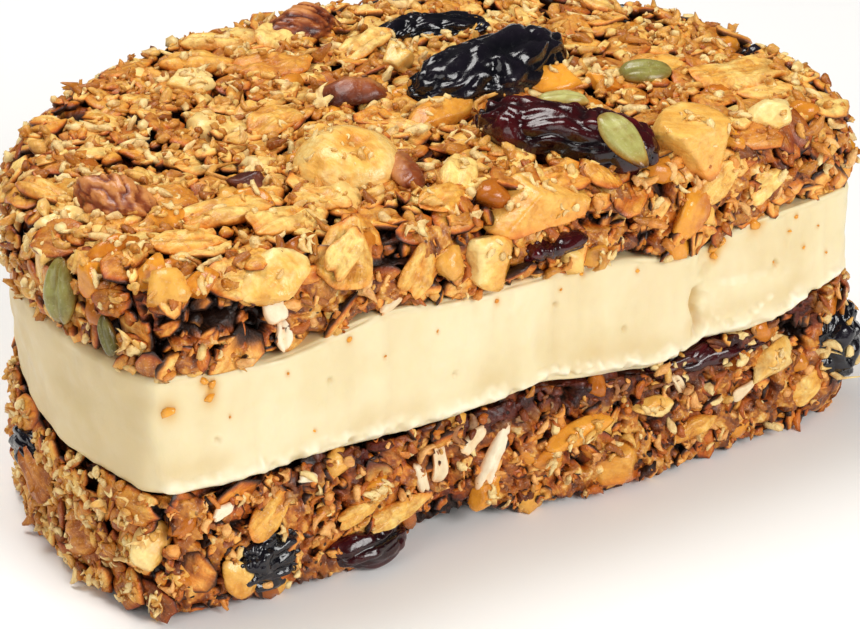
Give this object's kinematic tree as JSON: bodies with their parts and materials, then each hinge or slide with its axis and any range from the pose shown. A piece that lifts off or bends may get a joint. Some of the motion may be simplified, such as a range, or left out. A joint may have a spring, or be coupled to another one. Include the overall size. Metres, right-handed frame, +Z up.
{
  "type": "granola alfajor",
  "caption": "Cut granola alfajor: thick pale cream between pressed oat-and-nut cookies with dried fruit, nuts and seeds.",
  "frame": {"origin": "centre of the piece's bounding box, at the surface it rests on", "axes": "+X along the cut, to the right when the cut is faced; +Y from the cut towards the rounded rear; +Z up through the layers"},
  "size_m": [0.0809, 0.0525, 0.0362],
  "materials": {
    "granola": "toasted oats bound with syrup, rough with a slight sheen",
    "cream": "smooth pale cream, soft satin",
    "raisin": "dark wrinkled skin, glossy",
    "cranberry": "dark red wrinkled skin, glossy",
    "nut": "pale roasted nut, satin with a syrup glaze",
    "almond": "red-brown ribbed almond skin, satin"
  },
  "bodies": {
    "root": {"top_cookie": "granola", "cream_filling": "cream", "bottom_cookie": "granola", "raisin_rear": "raisin", "raisin_far": "raisin", "raisin_right_rim": "raisin", "raisin_back_rim": "raisin", "raisin_corner": "raisin", "raisin_cut": "raisin", "raisin_left_rim": "raisin", "cranberry_front": "cranberry", "cranberry_cut": "cranberry", "cranberry_base": "cranberry", "cranberry_under_cream": "cranberry", "macadamia": "nut", "nut_wedge": "nut", "peanut_right": "nut", "nut_base": "nut", "almond_left": "almond", "almond_rear": "almond"}
  },
  "joints": []
}
